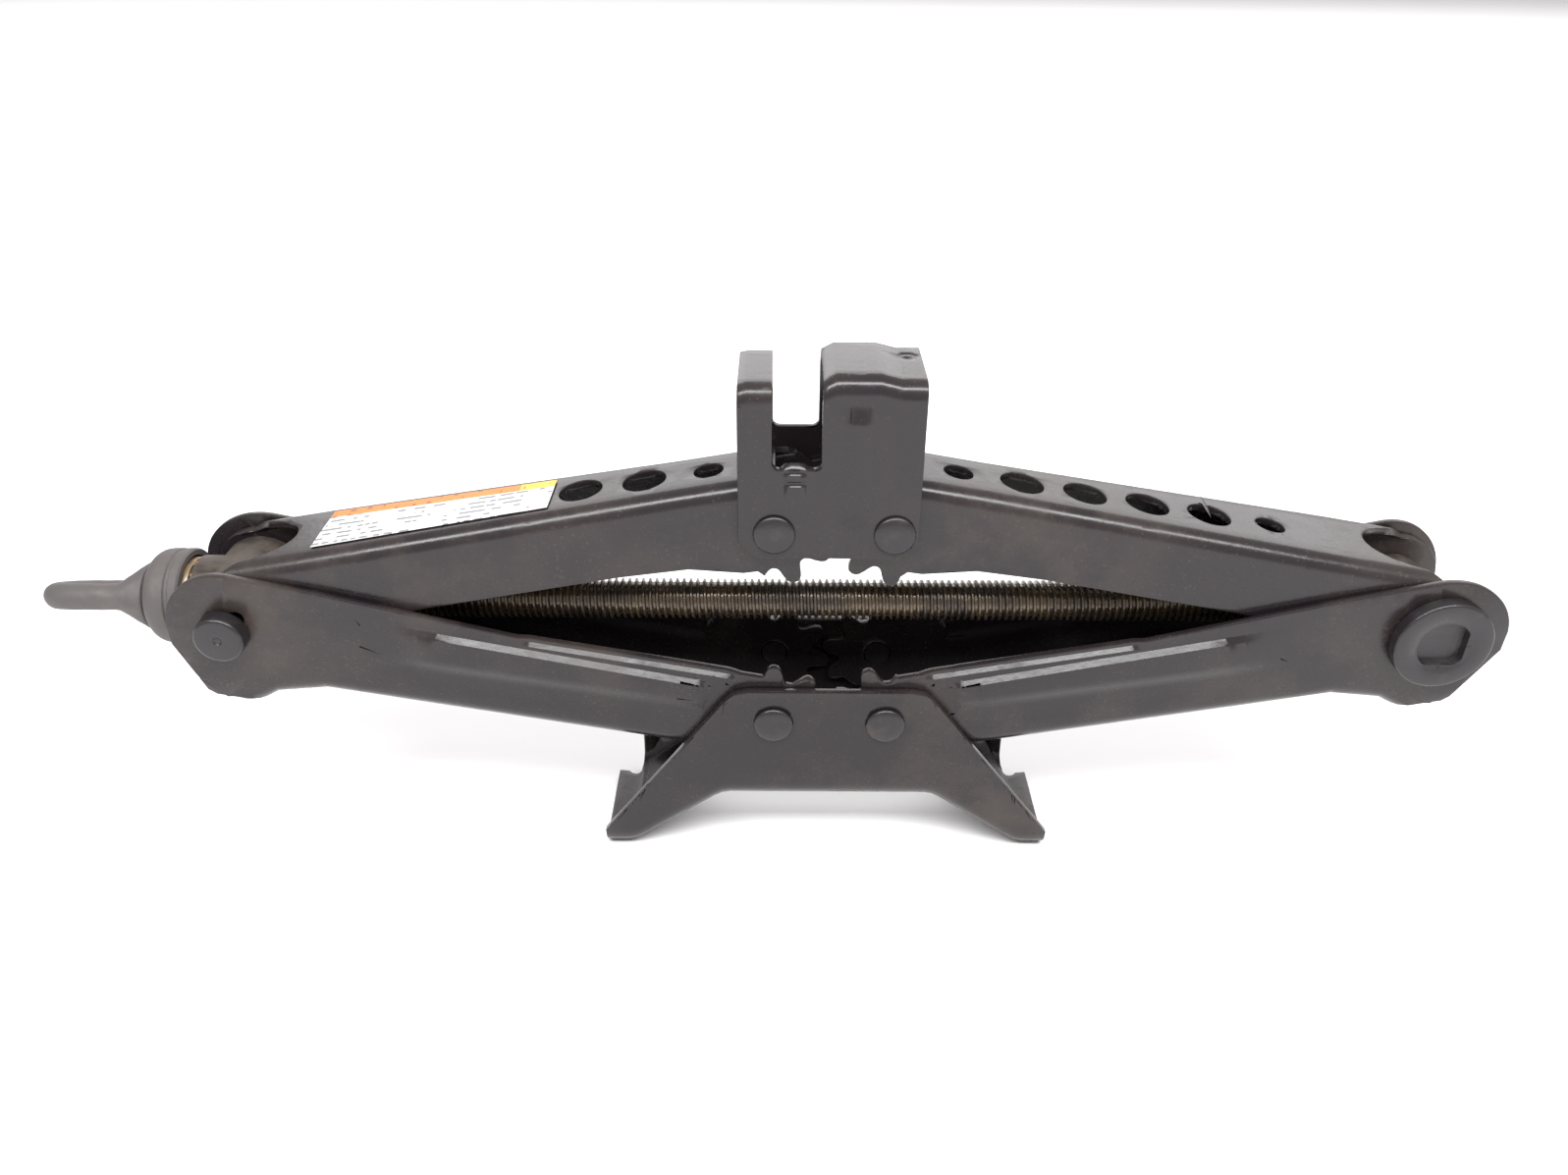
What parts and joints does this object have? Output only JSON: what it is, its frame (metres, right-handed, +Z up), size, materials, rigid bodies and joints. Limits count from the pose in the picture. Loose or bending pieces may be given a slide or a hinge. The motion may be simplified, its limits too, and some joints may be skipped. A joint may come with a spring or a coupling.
{
  "type": "scissor jack",
  "caption": "Folding screw-driven lifting jack with geared channel arms, a splayed foot, a slotted saddle and a crank eye.",
  "frame": {"origin": "on the ground plane, under the middle of the overall box", "axes": "+Z up, +X along the lift screw away from the crank eye, +Y across the jack"},
  "size_m": [0.4202, 0.0498, 0.1532],
  "materials": {
    "black_coat": "satin black electrocoat over pressed sheet steel",
    "black_pin": "satin black coated steel rivet or pin",
    "turned_steel": "turned steel, oiled and dusty",
    "washer_steel": "bright steel stained with old grease",
    "greased_screw": "rolled thread under dark grease",
    "dark_forging": "dark phosphate on a forging",
    "label_film": "printed plastic film"
  },
  "bodies": {
    "base": {"base_bracket": "black_coat", "base_rivet_left_front": "black_pin", "base_rivet_left_back": "black_pin", "base_rivet_right_front": "black_pin", "base_rivet_right_back": "black_pin"},
    "lower_left_arm": {"lower_arm_left": "black_coat"},
    "lower_right_arm": {"lower_arm_right": "black_coat"},
    "upper_left_arm": {"upper_arm_left": "black_coat", "warning_label": "label_film"},
    "upper_right_arm": {"upper_arm_right": "black_coat"},
    "saddle": {"saddle_bracket": "black_coat", "saddle_rivet_left_front": "black_pin", "saddle_rivet_left_back": "black_pin", "saddle_rivet_right_front": "black_pin", "saddle_rivet_right_back": "black_pin"},
    "thrust_end": {"thrust_trunnion": "turned_steel", "thrust_pin_front": "black_pin", "thrust_pin_back": "black_pin", "thrust_washer": "washer_steel", "thrust_race": "washer_steel"},
    "nut_end": {"nut_trunnion": "turned_steel", "nut_flange_pin_front": "black_pin", "nut_flange_pin_back": "black_pin"},
    "screw": {"lift_screw": "greased_screw", "crank_eye": "dark_forging", "bearing_cap": "dark_forging", "eye_roll_pin": "greased_screw"}
  },
  "joints": [
    {"name": "lift", "type": "hinge", "parent": "base", "child": "lower_left_arm", "pos_m": [0.00373, 0, 0.04861], "axis": [0, 1, 0], "range_deg": [-6, 42]},
    {"name": "lower_right_pivot", "type": "hinge", "parent": "base", "child": "lower_right_arm", "pos_m": [0.03653, 0, 0.04861], "axis": [0, -1, 0], "range_deg": [-6, 42]},
    {"name": "thrust_arm_pivot", "type": "hinge", "parent": "lower_left_arm", "child": "upper_left_arm", "pos_m": [-0.15058, 0, 0.0786], "axis": [0, -1, 0], "range_deg": [-12, 84]},
    {"name": "nut_arm_pivot", "type": "hinge", "parent": "lower_right_arm", "child": "upper_right_arm", "pos_m": [0.19084, 0, 0.0786], "axis": [0, 1, 0], "range_deg": [-12, 84]},
    {"name": "saddle_pivot", "type": "hinge", "parent": "upper_left_arm", "child": "saddle", "pos_m": [0.00373, 0, 0.10859], "axis": [0, 1, 0], "range_deg": [-6, 42]},
    {"name": "thrust_end_swivel", "type": "hinge", "parent": "lower_left_arm", "child": "thrust_end", "pos_m": [-0.15058, 0, 0.0786], "axis": [0, -1, 0], "range_deg": [-6, 42]},
    {"name": "nut_end_swivel", "type": "hinge", "parent": "lower_right_arm", "child": "nut_end", "pos_m": [0.19084, 0, 0.0786], "axis": [0, 1, 0], "range_deg": [-6, 42]},
    {"name": "screw_turn", "type": "hinge", "parent": "thrust_end", "child": "screw", "pos_m": [-0.15058, 0, 0.0786], "axis": [1, 0, 0], "continuous": true}
  ],
  "couplings": [
    {"joint": "lower_right_pivot", "follows": "lift", "ratio": 1},
    {"joint": "thrust_arm_pivot", "follows": "lift", "ratio": 2},
    {"joint": "nut_arm_pivot", "follows": "lift", "ratio": 2},
    {"joint": "saddle_pivot", "follows": "lift", "ratio": 1},
    {"joint": "thrust_end_swivel", "follows": "lift", "ratio": 1},
    {"joint": "nut_end_swivel", "follows": "lift", "ratio": 1}
  ]
}
